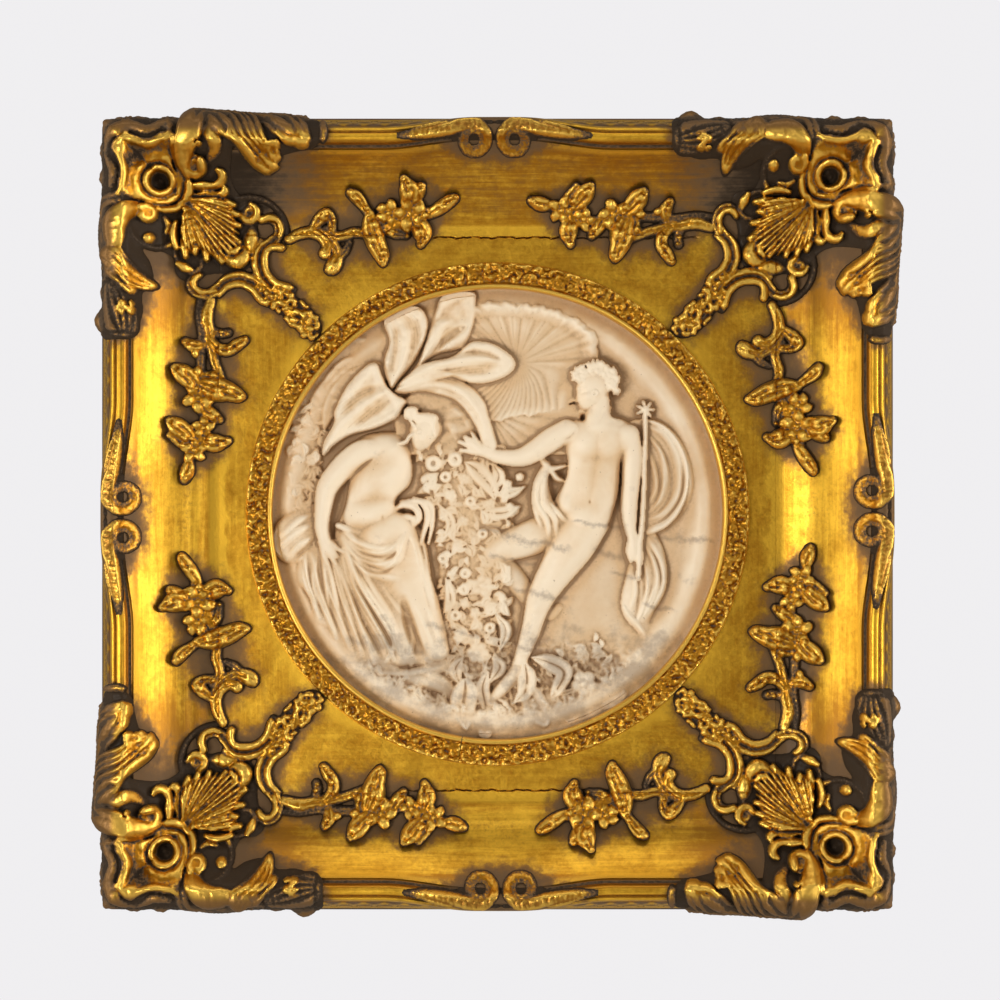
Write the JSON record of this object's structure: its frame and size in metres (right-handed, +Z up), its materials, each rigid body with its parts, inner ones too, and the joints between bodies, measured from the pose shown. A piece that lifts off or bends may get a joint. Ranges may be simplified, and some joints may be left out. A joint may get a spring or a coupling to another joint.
{
  "type": "framed relief plaque",
  "caption": "Round marble relief of two classical figures under broad leaves, in a square carved and gilded frame that hangs on a wall",
  "frame": {"origin": "middle of the flat back, on the wall plane", "axes": "+Z up as it hangs, +X to the viewer's right, the carved face toward -Y, the wall toward +Y"},
  "size_m": [0.3258, 0.0472, 0.3258],
  "materials": {
    "gilding": "worn gold leaf on plaster and wood, with brown dirt in the hollows",
    "old_gilding": "rubbed gold leaf over grey-brown patina on cast ornament",
    "marble": "cream marble with a low polish, tan dirt in the carving and grey-purple veins",
    "pine": "bare aged softwood"
  },
  "bodies": {
    "root": {"frame_moulding": "gilding", "corner_casting_1": "old_gilding", "corner_casting_2": "old_gilding", "corner_casting_3": "old_gilding", "corner_casting_4": "old_gilding", "centre_casting_1": "old_gilding", "centre_casting_2": "old_gilding", "centre_casting_3": "old_gilding", "centre_casting_4": "old_gilding", "spray_left_1": "gilding", "spray_left_2": "gilding", "spray_left_3": "gilding", "spray_left_4": "gilding", "spray_right_1": "gilding", "spray_right_2": "gilding", "spray_right_3": "gilding", "spray_right_4": "gilding", "slip": "gilding", "sight_ring": "old_gilding", "marble_roundel": "marble", "backboard": "pine"}
  },
  "joints": []
}
